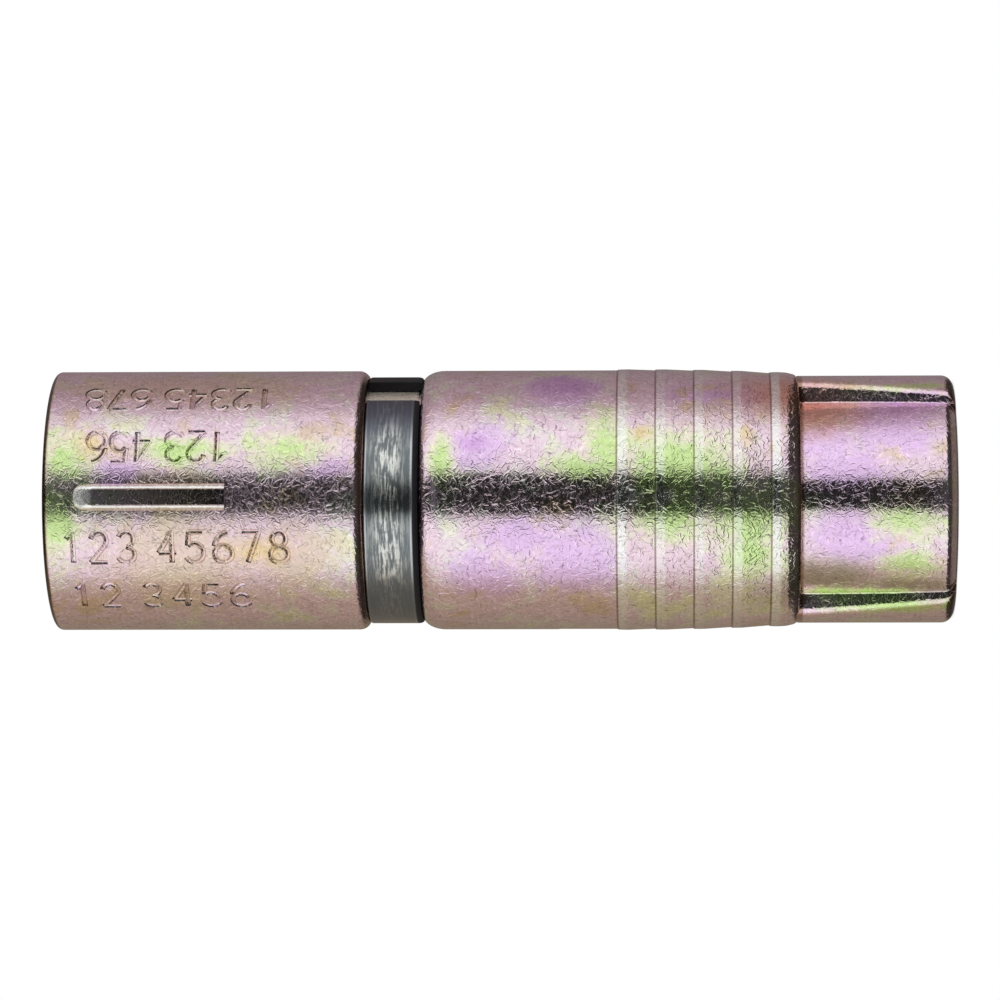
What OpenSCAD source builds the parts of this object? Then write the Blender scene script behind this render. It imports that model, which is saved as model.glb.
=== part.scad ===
// Shield of a bolt-type expansion anchor: spacer sleeve, compression ring,
// expansion sleeve and cone nut, in the order that they stand in the drilled hole.
// The flat end of the cone nut is at z = 0 and the bolt enters from the top.

/* [Shield] */
// Outer diameter of both sleeves, a slide fit in a 16 mm hole
shield_d = 15.7; // [15.4:0.05:15.9]
// Bore of both sleeves, which clears the bolt
bolt_bore_d = 10.4; // [10:0.1:10.8]
// Radial room between parts that slide over each other
slide_gap = 0.06; // [0.03:0.01:0.1]
// Chamfer on the inner edge of each mouth
bore_chamfer = 0.35; // [0.2:0.05:0.5]

/* [Cone nut] */
// How far the cone nut stands out of the expansion sleeve
cone_reach = 9.3; // [8:0.1:11]
// Length of the nose that sits inside the expansion sleeve
nose_len = 6; // [5:0.1:7]
// Diameter of the cone where it meets the flat end
cone_base_d = 14; // [13.7:0.05:14.2]
// Half angle of the cone
cone_angle = 4.3; // [4:0.1:4.6]
// Diameter over the two guide ribs
rib_d = 14.95; // [14.8:0.01:15.1]
// Width of a guide rib at the mouth of the expansion sleeve
rib_mouth_w = 5.3; // [4.8:0.1:5.8]
// Angle at which each flank of a guide rib flares towards the flat end
rib_flare = 10.4; // [8:0.2:12]
// Angle at which each flank leans in towards the axis
rib_lean = 2; // [0:0.5:5]
// Length of the tapered rib ends inside the expansion sleeve
rib_entry = 2.6; // [2:0.1:4]
// Angle at which the crest of a rib end drops inside the sleeve
rib_entry_angle = 10; // [7:1:14]
// Rounding of the flat end
nut_round = 0.7; // [0.4:0.05:0.8]
// Bore of the nut, the minor diameter of its thread
thread_bore_d = 8; // [7.8:0.05:8.3]
// Countersink at each end of the thread, on the radius
thread_chamfer = 0.85; // [0.5:0.05:0.9]
// Bevel at the tip of the nose
nose_bevel = 0.4; // [0.2:0.05:0.5]

/* [Expansion sleeve] */
// Length of the full diameter
expansion_len = 22.7; // [20:0.1:26]
// Rounding of the shoulder under the compression ring, along the axis
shoulder_round = 0.95; // [0.5:0.05:1.1]
// The same rounding measured across the radius
shoulder_drop = 0.6; // [0.4:0.05:0.65]
// Rounding of the lip that rides on the cone
lip_round = 0.5; // [0.3:0.05:0.6]
// Length over which the sleeve is drawn in towards the lip
swage_len = 9.2; // [7:0.1:11]
// How far the lip is drawn in, on the radius
swage_depth = 0.3; // [0.2:0.01:0.32]
// Number of grip rings
grip_count = 5; // [3:1:6]
// Distance from one grip ring to the next
grip_pitch = 2.29; // [2.1:0.01:2.4]
// Height of a grip ring
grip_h = 0.06; // [0.03:0.01:0.1]
// Length of the steep side of a grip ring, which faces the bolt mouth
grip_rise = 0.75; // [0.4:0.05:1]
// Distance from the lip to the crest of the lowest grip ring
grip_start = 1.06; // [1:0.01:1.3]
// Width of the two slits
slit_w = 1; // [0.6:0.1:1.4]
// Length of the two slits
slit_len = 14.5; // [12:0.1:17]
// Outer diameter of the neck that carries the ring and the spacer sleeve
neck_d = 13.7; // [13.4:0.05:14]
// Length of the neck inside the spacer sleeve
neck_engage = 4; // [3:0.1:5]

/* [Compression ring] */
// Outer diameter of the ring
ring_d = 14.95; // [14.8:0.05:15.2]
// Width of the ring along the axis
ring_w = 3.2; // [2.6:0.1:4]
// Bevel of the four ring edges
ring_bevel = 0.15; // [0.08:0.01:0.18]
// Angle of the split in the ring
split_angle = 16.6; // [8:0.2:24]
// Direction of the split, counted from the front towards +X
split_from_front = 62.3; // [0:0.1:180]

/* [Spacer sleeve] */
// Length of the spacer sleeve
spacer_len = 19.1; // [16:0.1:24]
// Rounding of the end at the bolt mouth
mouth_round = 0.37; // [0.2:0.01:0.5]
// Rounding of the end on the compression ring
spacer_round = 0.67; // [0.4:0.01:0.8]
// Room for the neck to move in when the ring is crushed
crush_room = 3.8; // [3.4:0.1:4.5]

/* [Anti-turn ribs] */
// Number of pressed ribs on the spacer sleeve
key_count = 2; // [1:1:3]
// Width of a pressed rib at its foot
key_foot_w = 1.55; // [1.2:0.05:2]
// Width of a pressed rib at its flat top
key_top_w = 1; // [0.6:0.05:1.15]
// Height of a pressed rib above the sleeve
key_h = 0.28; // [0.15:0.01:0.4]
// Length of a pressed rib
key_len = 9.2; // [6:0.1:11]
// Distance from the bolt mouth to the round end of a pressed rib
key_start = 1.7; // [1.2:0.1:3]

/* [Hidden] */
$fn = 96;
arc_steps = 7;
spare = 1;
shield_r = shield_d / 2;
bore_r = bolt_bore_d / 2;
cone_base_r = cone_base_d / 2;
cone_fall = tan(cone_angle);
rib_r = rib_d / 2;
thread_bore_r = thread_bore_d / 2;
nut_len = cone_reach + nose_len;
neck_r = neck_d / 2;
ring_r = ring_d / 2;
ring_bore_r = neck_r + slide_gap;
shoulder_z = cone_reach + expansion_len;
ring_top_z = shoulder_z + ring_w;
neck_top_z = ring_top_z + neck_engage;
mouth_z = ring_top_z + spacer_len;
keyway_half_w = rib_mouth_w / 2 + slide_gap;

// Radius of the cone at a height
function cone_r(z) = cone_base_r - z * cone_fall;

// Height at which the cone, with its sliding room, has shrunk to the bore
cone_meets_bore_z = (cone_base_r + slide_gap - bore_r) / cone_fall;

// Radius of the crest of a guide rib inside the sleeve
function entry_r(z) = rib_r - (z - cone_reach) * tan(rib_entry_angle);

// Radius of the expansion sleeve at a height, before its grip rings
function swaged_r(z) =
    let (below = max(0, cone_reach + swage_len - z))
    shield_r - swage_depth * pow(below / swage_len, 2);

// Points of a quarter round between two angles: across is its radius, along its height
function arc(centre, across, along, from, to) =
    [for (i = [0 : arc_steps])
        let (a = from + (to - from) * i / arc_steps)
        centre + [across * cos(a), along * sin(a)]];

// Height of the crest of grip ring i, counted from the lip
function grip_z(i) = cone_reach + grip_start + i * grip_pitch;

// Profile points of one grip ring: its crest, then the foot of its steep side
function grip_points(i) =
    let (crest = grip_z(i), foot = grip_z(i) + grip_rise)
    [[swaged_r(crest) + grip_h, crest],
     [swaged_r(crest + 0.12) + grip_h * 0.85, crest + 0.12],
     [swaged_r(foot), foot]];

// Countersunk hole along the axis between two heights
module countersunk_bore(r, z0, z1, chamfer) {
    translate([0, 0, z0 - spare]) cylinder(r = r, h = z1 - z0 + 2 * spare);
    for (end = [[z0, 1], [z1, -1]])
        translate([0, 0, end[0]])
            rotate_extrude()
                polygon([[0, -end[1] * spare], [r + chamfer + spare, -end[1] * spare],
                         [r, end[1] * chamfer], [0, end[1] * chamfer]]);
}

// Solid that fills the room beside one flank of a guide rib, at +X and -Y
module flank_room() {
    half_w = rib_mouth_w / 2;
    reach = 4 * rib_r;
    translate([sqrt(pow(rib_r, 2) - pow(half_w, 2)), -half_w, cone_reach])
        rotate([0, 0, -rib_lean])
            rotate([-rib_flare, 0, 0])
                translate([-reach, -reach, -reach])
                    cube([2 * reach, reach, 2 * reach]);
}

// Room in front of the two guide ribs, where a half of the sleeve rides on the cone
module front_room() {
    intersection() {
        flank_room();
        mirror([1, 0, 0]) flank_room();
    }
}

// Cone nut: a cone between two broad guide ribs, threaded along its axis
module cone_nut() {
    rib_top_z = cone_reach + rib_entry;
    color("darkkhaki")
        difference() {
            union() {
                rotate_extrude()
                    polygon(concat(
                        [[0, 0]],
                        arc([cone_r(nut_round) - nut_round, nut_round], nut_round, nut_round, -90, 0),
                        [[cone_r(nut_len - nose_bevel), nut_len - nose_bevel],
                         [cone_r(nut_len) - nose_bevel / 2, nut_len], [0, nut_len]]));
                difference() {
                    rotate_extrude()
                        polygon(concat(
                            [[0, 0]],
                            arc([rib_r - nut_round, nut_round], nut_round, nut_round, -90, 0),
                            [[rib_r, cone_reach], [entry_r(rib_top_z), rib_top_z], [0, rib_top_z]]));
                    front_room();
                    mirror([0, 1, 0]) front_room();
                }
            }
            countersunk_bore(thread_bore_r, 0, nut_len, thread_chamfer);
        }
}

// Keyways, slits and cone seat that open the lip of the expansion sleeve
module lip_cuts() {
    top = cone_meets_bore_z;
    translate([0, 0, cone_reach - spare])
        cylinder(r1 = cone_r(cone_reach - spare) + slide_gap, r2 = bore_r, h = top - cone_reach + spare);
    keyway_top_z = cone_reach + (rib_r - bore_r) / tan(rib_entry_angle);
    intersection() {
        translate([0, 0, cone_reach - spare])
            cylinder(r1 = entry_r(cone_reach - spare) + slide_gap, r2 = bore_r + slide_gap,
                     h = keyway_top_z - cone_reach + spare);
        translate([-shield_d, -keyway_half_w, cone_reach - spare])
            cube([2 * shield_d, 2 * keyway_half_w, keyway_top_z - cone_reach + spare]);
    }
    translate([-shield_d, -slit_w / 2, cone_reach - spare])
        cube([2 * shield_d, slit_w, slit_len + spare]);
}

// Expansion sleeve: grip rings and a drawn-in lip below, a reduced neck above
module expansion_sleeve() {
    lip_r = swaged_r(cone_reach + lip_round);
    color("tan")
        difference() {
            rotate_extrude()
                polygon(concat(
                    [[0, cone_reach]],
                    arc([lip_r - lip_round, cone_reach + lip_round], lip_round, lip_round, -90, 0),
                    [for (i = [0 : grip_count - 1]) each grip_points(i)],
                    arc([shield_r - shoulder_drop, shoulder_z - shoulder_round],
                        shoulder_drop, shoulder_round, 0, 90),
                    [[neck_r, shoulder_z], [neck_r, neck_top_z - bore_chamfer],
                     [neck_r - bore_chamfer, neck_top_z], [0, neck_top_z]]));
            countersunk_bore(bore_r, cone_reach, neck_top_z, bore_chamfer);
            lip_cuts();
        }
}

// Split ring of black plastic that is crushed between the two sleeves
module compression_ring() {
    color("dimgray")
        rotate([0, 0, split_from_front - 90 + split_angle / 2])
            rotate_extrude(angle = 360 - split_angle)
                polygon([
                    [ring_bore_r, shoulder_z + ring_bevel], [ring_bore_r + ring_bevel, shoulder_z],
                    [ring_r - ring_bevel, shoulder_z], [ring_r, shoulder_z + ring_bevel],
                    [ring_r, ring_top_z - ring_bevel], [ring_r - ring_bevel, ring_top_z],
                    [ring_bore_r + ring_bevel, ring_top_z], [ring_bore_r, ring_top_z - ring_bevel]]);
}

// Raised rib with sloping flanks and a round end towards the bolt mouth, at the front
module pressed_rib() {
    foot_r = shield_r - key_h;
    top_r = shield_r + key_h;
    slope_w = (key_foot_w - key_top_w) / 2;
    round_z = mouth_z - key_start - key_foot_w / 2;
    translate([0, 0, mouth_z - key_start - key_len])
        linear_extrude(round_z - (mouth_z - key_start - key_len))
            polygon([
                [-key_foot_w / 2 - slope_w, -foot_r], [-key_top_w / 2, -top_r],
                [key_top_w / 2, -top_r], [key_foot_w / 2 + slope_w, -foot_r]]);
    translate([0, -foot_r, round_z])
        rotate([90, 0, 0])
            cylinder(r1 = key_foot_w / 2 + slope_w, r2 = key_top_w / 2, h = top_r - foot_r);
}

// Spacer sleeve: counterbored for the neck, with pressed ribs that stop it turning
module spacer_sleeve() {
    neck_room_r = neck_r + slide_gap;
    neck_room_z = neck_top_z + crush_room;
    color("tan")
        difference() {
            union() {
                rotate_extrude()
                    polygon(concat(
                        [[0, ring_top_z]],
                        arc([shield_r - spacer_round, ring_top_z + spacer_round],
                            spacer_round, spacer_round, -90, 0),
                        arc([shield_r - mouth_round, mouth_z - mouth_round],
                            mouth_round, mouth_round, 0, 90),
                        [[0, mouth_z]]));
                for (i = [0 : key_count - 1])
                    rotate([0, 0, i * 360 / key_count]) pressed_rib();
            }
            countersunk_bore(bore_r, ring_top_z, mouth_z, bore_chamfer);
            translate([0, 0, ring_top_z - spare])
                cylinder(r = neck_room_r, h = neck_room_z - ring_top_z + spare);
        }
}

cone_nut();
expansion_sleeve();
compression_ring();
spacer_sleeve();
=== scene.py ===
# %% [markdown]
# The shield of a sleeve anchor is four steel and plastic pieces on one axis: a cone nut, an
# expansion sleeve, a split ring and a spacer sleeve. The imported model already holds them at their
# true size, but smooth and plain. Here each piece is modelled again in the same place with the
# small things that catch the light, such as grip rings, a stamped face and a real thread, and gets
# its finish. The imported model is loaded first, because every size and place is taken from it.

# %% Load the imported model
import math

import bmesh
import bpy
from mathutils import Matrix, Quaternion, Vector


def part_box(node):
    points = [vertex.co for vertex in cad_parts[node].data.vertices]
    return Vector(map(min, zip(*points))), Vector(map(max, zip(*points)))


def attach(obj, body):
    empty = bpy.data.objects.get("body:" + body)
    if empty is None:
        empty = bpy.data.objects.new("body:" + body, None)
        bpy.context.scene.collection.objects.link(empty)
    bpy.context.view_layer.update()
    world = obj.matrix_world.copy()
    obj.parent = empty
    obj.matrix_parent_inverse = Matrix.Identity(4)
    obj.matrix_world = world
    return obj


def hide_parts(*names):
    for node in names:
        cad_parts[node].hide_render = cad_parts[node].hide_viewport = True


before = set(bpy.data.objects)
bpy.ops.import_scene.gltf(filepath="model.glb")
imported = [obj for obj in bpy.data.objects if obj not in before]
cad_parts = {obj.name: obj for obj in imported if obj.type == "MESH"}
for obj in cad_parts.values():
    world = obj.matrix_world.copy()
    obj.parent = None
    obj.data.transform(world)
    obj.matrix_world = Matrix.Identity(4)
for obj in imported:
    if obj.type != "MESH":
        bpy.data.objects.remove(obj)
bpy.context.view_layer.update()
print("packed nodes:", ", ".join(sorted(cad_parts)))

# %% [markdown]
# All sizes below are in millimetres, as on a drawing, and are turned to metres only where a point
# is made. What two pieces share, such as the height of the ring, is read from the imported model, so
# the pieces still meet if it changes. Only what its boxes can't tell is written as a number.

# %% Sizes that the pieces share
MM = 0.001
nut_box, sleeve_box, ring_box, spacer_box = (
    [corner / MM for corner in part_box(node)]
    for node in ("cone_nut", "expansion_sleeve", "compression_ring", "spacer_sleeve")
)
cone_reach = sleeve_box[0].z
nut_len = nut_box[1].z
rib_r = nut_box[1].x
shoulder_z = ring_box[0].z
ring_top_z = ring_box[1].z
neck_top_z = sleeve_box[1].z
mouth_z = spacer_box[1].z
shield_r = spacer_box[1].x
ring_r = -ring_box[0].x
bore_r = 5.2
bore_chamfer = 0.35
slide_gap = 0.06
neck_r = 6.85
print(f"shield radius {shield_r:.2f}, mouth at {mouth_z:.1f}, lip at {cone_reach:.1f} mm")

# %% [markdown]
# A turned piece is drawn the way a lathe hand thinks of it: half of its section, swept round the
# axis. Blender can do this with a Screw modifier on a drawn line, or in edit mode by hand. The hand
# way is used here: one vertex is extruded from point to point until the outline is closed, and the
# spin tool carries it round. Afterwards the doubled seam is merged and the normals are made to
# point outwards, because a spin can turn them in.

# %% Helpers that draw an outline and spin it
AROUND = 256
MERGE = 1e-6


def arc(centre, across, along, start, end, steps=8):
    """Points of a rounding: across is its radius, along its height, the angles in degrees."""
    angles = [math.radians(start + (end - start) * i / steps) for i in range(steps + 1)]
    return [(centre[0] + across * math.cos(a), centre[1] + along * math.sin(a)) for a in angles]


def draw_outline(name, outline):
    """Extrudes one vertex along an outline of (radius, height) points and closes it."""
    points = [Vector((r, 0, z)) * MM for r, z in outline]
    bpy.ops.mesh.primitive_plane_add(size=MM)
    piece = bpy.context.object
    piece.name = piece.data.name = name
    bpy.ops.object.mode_set(mode="EDIT")
    bpy.ops.mesh.merge(type="CENTER")
    bpy.ops.transform.translate(value=points[0])
    for here, there in zip(points, points[1:] + points[:1]):
        bpy.ops.mesh.extrude_vertices_move(TRANSFORM_OT_translate={"value": there - here})
    bpy.ops.mesh.select_all(action="SELECT")
    bpy.ops.mesh.remove_doubles(threshold=MERGE)
    return piece


def close_skin():
    """Merges doubled points of the mesh in edit mode and turns its faces outwards."""
    bpy.ops.mesh.select_all(action="SELECT")
    bpy.ops.mesh.remove_doubles(threshold=MERGE)
    bpy.ops.mesh.normals_make_consistent(inside=False)
    bpy.ops.object.mode_set(mode="OBJECT")


def open_edges(piece):
    """Edges that don't have exactly two faces. A closed solid has none."""
    skin = bmesh.new()
    skin.from_mesh(piece.data)
    count = sum(len(edge.link_faces) != 2 for edge in skin.edges)
    skin.free()
    return count


def turn_piece(name, outline):
    """A turned piece: the outline spun a full turn about the axis."""
    piece = draw_outline(name, outline)
    bpy.ops.mesh.spin(steps=AROUND, angle=2 * math.pi, center=(0, 0, 0), axis=(0, 0, 1))
    close_skin()
    print(f"{name}: {len(piece.data.polygons)} faces, {open_edges(piece)} open edges")
    return piece


# %% [markdown]
# Slots, keyways, threads and stamped marks are taken out of a turned piece with a second solid. The
# Boolean modifier does that, and its exact solver keeps the walls closed even where two faces lie
# close together. The cutter is deleted once the modifier is applied, so only the piece stays.

# %% Helpers that cut or join two solids and finish a piece
SMOOTH_ANGLE = math.radians(30)


def pick(*pieces):
    """Selects these pieces alone and makes the first of them active."""
    bpy.ops.object.select_all(action="DESELECT")
    for piece in pieces:
        piece.select_set(True)
    bpy.context.view_layer.objects.active = pieces[0]


def combine(piece, tool, operation="DIFFERENCE"):
    """Cuts the tool out of the piece, or joins it on, and deletes the tool."""
    pick(piece)
    bpy.ops.object.modifier_add(type="BOOLEAN")
    modifier = piece.modifiers[-1]
    modifier.operation = operation
    modifier.solver = "EXACT"
    modifier.object = tool
    bpy.ops.object.modifier_apply(modifier=modifier.name)
    bpy.data.objects.remove(tool, do_unlink=True)


def finish_piece(piece, node, material):
    """Shades a finished piece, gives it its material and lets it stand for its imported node."""
    pick(piece)
    bpy.ops.object.shade_smooth_by_angle(angle=SMOOTH_ANGLE)
    piece.data.materials.clear()
    piece.data.materials.append(material)
    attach(piece, "root")
    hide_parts(node)
    print(f"{piece.name} stands for {node}, {len(piece.data.polygons)} faces")


# %% [markdown]
# Shader maths reads best as ordinary sums. This small class wraps the output of a node, and each
# operator on it adds one Math node to the same material. Every other node comes from its add
# method: the node's settings are made first, because they can change which sockets it has, and
# then each socket gets a number or a link.

# %% Class that writes shader maths as Python
class Wire:
    """An output socket that can be used in sums."""

    def __init__(self, tree, socket=None):
        self.tree = tree
        self.socket = socket

    def add(self, kind, settings=None, sockets=None, out=0):
        """Adds a node, makes its settings, fills its sockets and returns one of its outputs."""
        node = self.tree.nodes.new(kind)
        for name, value in (settings or {}).items():
            if name == "stops":
                self.fill_ramp(node.color_ramp, value)
            else:
                setattr(node, name, value)
        for name, value in (sockets or {}).items():
            if isinstance(value, Wire):
                self.tree.links.new(value.socket, node.inputs[name])
            else:
                node.inputs[name].default_value = value
        return Wire(self.tree, node.outputs[out])

    @staticmethod
    def fill_ramp(ramp, stops):
        """Sets a colour ramp to stops of (position, colour)."""
        while len(ramp.elements) < len(stops):
            ramp.elements.new(1)
        for element, (position, colour) in zip(ramp.elements, stops):
            element.position = position
            element.color = (*colour, 1)

    def math(self, operation, *values):
        """One Math node on up to three values."""
        return self.add("ShaderNodeMath", {"operation": operation}, dict(enumerate(values)))

    def vector(self, operation, *values, out=0):
        """One Vector Math node on up to three vectors."""
        sockets = dict(enumerate(values))
        return self.add("ShaderNodeVectorMath", {"operation": operation}, sockets, out)

    def scaled(self, factor):
        """This vector or colour times one number."""
        settings = {"operation": "SCALE"}
        return self.add("ShaderNodeVectorMath", settings, {0: self, "Scale": factor})

    def point(self, x, y, z):
        """A vector made of three values."""
        return self.add("ShaderNodeCombineXYZ", None, {0: x, 1: y, 2: z})

    def __add__(self, other):
        return self.math("ADD", self, other)

    def __radd__(self, other):
        return self.math("ADD", other, self)

    def __sub__(self, other):
        return self.math("SUBTRACT", self, other)

    def __rsub__(self, other):
        return self.math("SUBTRACT", other, self)

    def __mul__(self, other):
        return self.math("MULTIPLY", self, other)

    def __rmul__(self, other):
        return self.math("MULTIPLY", other, self)

    def __truediv__(self, other):
        return self.math("DIVIDE", self, other)

    def __pow__(self, other):
        return self.math("POWER", self, other)

    def __abs__(self):
        return self.math("ABSOLUTE", self)

    def rise(self, low, high):
        """0 below low, 1 above high and a smooth step between them."""
        return self.add(
            "ShaderNodeMapRange",
            {"interpolation_type": "SMOOTHSTEP"},
            {"Value": self, "From Min": low, "From Max": high},
        )

    def mix(self, first, second):
        """A colour that goes from the first to the second as this value goes from 0 to 1."""
        return self.add(
            "ShaderNodeMix",
            {"data_type": "RGBA"},
            {0: self, 6: first, 7: second},
            out=2,
        )

    def noise(self, size, detail=2.0, roughness=0.5, distortion=0.0, out=0):
        """Noise over this vector, whose features are about size units across. 1 is its colour."""
        sockets = {
            "Vector": self, "Scale": 1 / size, "Detail": detail,
            "Roughness": roughness, "Distortion": distortion,
        }
        return self.add("ShaderNodeTexNoise", None, sockets, out)

    def split(self):
        """The three parts of this vector."""
        first = self.add("ShaderNodeSeparateXYZ", None, {0: self})
        return [Wire(self.tree, output) for output in first.socket.node.outputs]


def new_material(name):
    """An empty material: the wire to start from and its output node."""
    material = bpy.data.materials.new(name)
    material.use_nodes = True
    tree = material.node_tree
    tree.nodes.clear()
    output = tree.nodes.new("ShaderNodeOutputMaterial")
    return material, Wire(tree), output


def millimetres(start):
    """Object coordinates in millimetres, so that feature sizes can be written as real sizes."""
    return start.add("ShaderNodeTexCoord", out=3).scaled(1 / MM)


# %% [markdown]
# The cone nut is cold formed: a cone pressed between two broad guide ribs whose flanks flare
# towards the flat end. A boolean between a cone and two wedges would make it, but the edges of the
# flanks carry the brightest lines of the whole part, and a bevel on boolean edges breaks up easily.
# So the section is worked out at each height, with its rounded edge and its small fillet, and a
# circle of vertices is extruded from one section to the next. The panels between the ribs aren't
# quite round: each stands a little prouder along its middle, which bends the dark reflection on it.

# %% Section of the cone nut at a height
cone_base_r = 7.0
cone_fall = math.tan(math.radians(4.3))
rib_half_w = 2.65
rib_flare = math.radians(9.4)
rib_lean = math.radians(2)
rib_entry = 2.6
rib_entry_fall = math.tan(math.radians(10))
rib_top_z = cone_reach + rib_entry
nut_round = 0.7
edge_round = 0.55
foot_fillet = 0.17
crown = 0.05
crown_w = math.radians(15)
flank_normal = Vector((math.sin(rib_lean), math.cos(rib_lean)))
flank_along = Vector((math.cos(rib_lean), -math.sin(rib_lean)))
flank_start = Vector((math.sqrt(rib_r**2 - rib_half_w**2), -rib_half_w))


def rounded_in(z):
    """How much the rounding of the flat end takes off the radius at a height."""
    return nut_round - math.sqrt(nut_round**2 - max(0, nut_round - z) ** 2)


def cone_radius(z):
    return cone_base_r - max(z, nut_round) * cone_fall - rounded_in(z)


def crest_radius(z):
    return rib_r - rounded_in(z) - max(0, z - cone_reach) * rib_entry_fall


def crowned(radius, angle):
    """The panel stands a little prouder along its middle: a wave that dies out to the sides."""
    return radius + crown * math.exp(-((angle / crown_w) ** 2))


def on_flank(offset, radius):
    """The point at a radius on a line that lies offset from the origin along the flank's normal."""
    return flank_normal * offset + flank_along * math.sqrt(radius**2 - offset**2)


def sweep(centre, start, end, steps):
    """Points on a small arc about a centre, from one point to another, without the first."""
    spoke = start - centre
    turn = spoke.angle_signed(end - centre)
    return [centre + Matrix.Rotation(-turn * i / steps, 2) @ spoke for i in range(1, steps + 1)]


def round_the_axis(start, end, steps):
    return sweep(Vector((0, 0)), start, end, steps)


PANEL_STEPS = 34
FILLET_STEPS = 5
FLANK_STEPS = 4
EDGE_STEPS = 6
CREST_STEPS = 15


def quarter_section(z):
    """Outline from the middle of the front panel to the middle of the crest on the +X side."""
    offset = flank_normal.dot(flank_start) + (z - cone_reach) * math.tan(rib_flare)
    cone, crest = cone_radius(z) - crown, crest_radius(z)
    fillet_centre = on_flank(offset - foot_fillet, cone + foot_fillet)
    edge_centre = on_flank(offset + edge_round, crest - edge_round)
    panel_end = fillet_centre * cone / (cone + foot_fillet)
    flank_foot = fillet_centre + flank_normal * foot_fillet
    flank_top = edge_centre - flank_normal * edge_round
    crest_start = edge_centre * crest / (crest - edge_round)
    panel_turn = math.atan2(panel_end.x, -panel_end.y)
    angles = [panel_turn * i / PANEL_STEPS for i in range(PANEL_STEPS + 1)]
    points = [Vector((math.sin(a), -math.cos(a))) * crowned(cone, a) for a in angles]
    points += sweep(fillet_centre, panel_end, flank_foot, FILLET_STEPS)
    points += [flank_foot.lerp(flank_top, i / FLANK_STEPS) for i in range(1, FLANK_STEPS + 1)]
    points += sweep(edge_centre, flank_top, crest_start, EDGE_STEPS)
    points += round_the_axis(crest_start, Vector((crest, 0)), CREST_STEPS)
    return points


def all_round(quarter, z):
    """A quarter mirrored to the other three, as a closed row of points at a height."""
    half = quarter + [Vector((p.x, -p.y)) for p in quarter[-2::-1]]
    whole = half + [Vector((-p.x, p.y)) for p in half[-2:0:-1]]
    return [Vector((p.x, p.y, z)) for p in whole]


def ribbed_row(z):
    return all_round(quarter_section(z), z)


def round_row(radius, z):
    """A circle with as many points as a ribbed row, which meets the panels point for point."""
    quarter = quarter_section(rib_top_z)
    angles = [math.atan2(p.x, -p.y) for p in quarter[: PANEL_STEPS + 1]]
    left = len(quarter) - len(angles)
    last = angles[-1]
    angles += [last + (math.pi / 2 - last) * i / left for i in range(1, left + 1)]
    return all_round([Vector((math.sin(a), -math.cos(a))) * radius for a in angles], z)


print("points round the nut:", len(ribbed_row(0)))

# %% Cone nut extruded from section to section
thread_minor_r = 4.0
thread_chamfer = 0.85
nose_bevel = 0.4
panel_heights = [2.5, 5, 7.5]


def loft_piece(name, rows):
    """A closed skin through rows of points, one extrusion of the open rim for each row."""
    bpy.ops.mesh.primitive_circle_add(vertices=len(rows[0]), radius=rib_r * MM)
    piece = bpy.context.object
    piece.name = piece.data.name = name
    bpy.ops.object.mode_set(mode="EDIT")
    skin = bmesh.from_edit_mesh(piece.data)
    turn = skin.verts.layers.int.new("turn")
    for count, vertex in enumerate(skin.verts):
        vertex[turn] = count
    for number, row in enumerate(rows + rows[:1]):
        if number:
            bpy.ops.mesh.extrude_edges_move()
        skin = bmesh.from_edit_mesh(piece.data)
        turn = skin.verts.layers.int["turn"]
        for vertex in skin.verts:
            if vertex.select:
                vertex.co = row[vertex[turn]] * MM
        bmesh.update_edit_mesh(piece.data)
    skin.verts.layers.int.remove(turn)
    close_skin()
    return piece


end_rounding = [nut_round * (1 - math.cos(math.radians(a))) for a in range(0, 91, 10)]
outside = [ribbed_row(z) for z in end_rounding + panel_heights + [cone_reach, rib_top_z]]
outside += [
    round_row(cone_radius(rib_top_z), rib_top_z),
    round_row(cone_radius(nut_len - nose_bevel), nut_len - nose_bevel),
    round_row(cone_radius(nut_len) - nose_bevel / 2, nut_len),
]
inside = [
    round_row(thread_minor_r + thread_chamfer, nut_len),
    round_row(thread_minor_r, nut_len - thread_chamfer),
    round_row(thread_minor_r, thread_chamfer),
    round_row(thread_minor_r + thread_chamfer, 0),
]
cone_nut = loft_piece("cone_nut_forged", outside + inside)
print("cone nut:", len(cone_nut.data.polygons), "faces,", open_edges(cone_nut), "open edges")

# %% [markdown]
# The nut is tapped with a coarse thread, sixteen turns to the inch. A thread is one triangle that
# climbs as it turns, so its outline, a triangle with a narrow crest, is drawn once and the Screw
# modifier winds it. The coil starts below the nut and ends above it, and is then cut out of the
# wall as a tap would do it.

# %% Thread tapped into the cone nut
thread_pitch = 25.4 / 16
thread_major_r = 4.76
thread_crest_w = 0.08
thread_clear = 0.1
thread_turns = math.ceil(nut_len / thread_pitch) + 2
half_width = (thread_major_r - thread_minor_r + thread_clear) * math.tan(math.radians(30))
tap = draw_outline("tap", [
    (thread_minor_r - thread_clear, -thread_pitch - half_width),
    (thread_major_r, -thread_pitch - thread_crest_w / 2),
    (thread_major_r, -thread_pitch + thread_crest_w / 2),
    (thread_minor_r - thread_clear, -thread_pitch + half_width),
])
bpy.ops.object.mode_set(mode="OBJECT")
bpy.ops.object.modifier_add(type="SCREW")
winding = tap.modifiers[-1]
winding.axis = "Z"
winding.screw_offset = thread_pitch * MM
winding.iterations = thread_turns
winding.steps = winding.render_steps = 72
bpy.ops.object.modifier_apply(modifier=winding.name)
bpy.ops.object.mode_set(mode="EDIT")
bpy.ops.mesh.select_all(action="SELECT")
bpy.ops.mesh.remove_doubles(threshold=MERGE)
bpy.ops.mesh.select_all(action="DESELECT")
bpy.ops.mesh.select_non_manifold()
bpy.ops.mesh.fill_holes(sides=4)
close_skin()
print("tap:", len(tap.data.polygons), "faces,", open_edges(tap), "open edges")
combine(cone_nut, tap)
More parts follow.
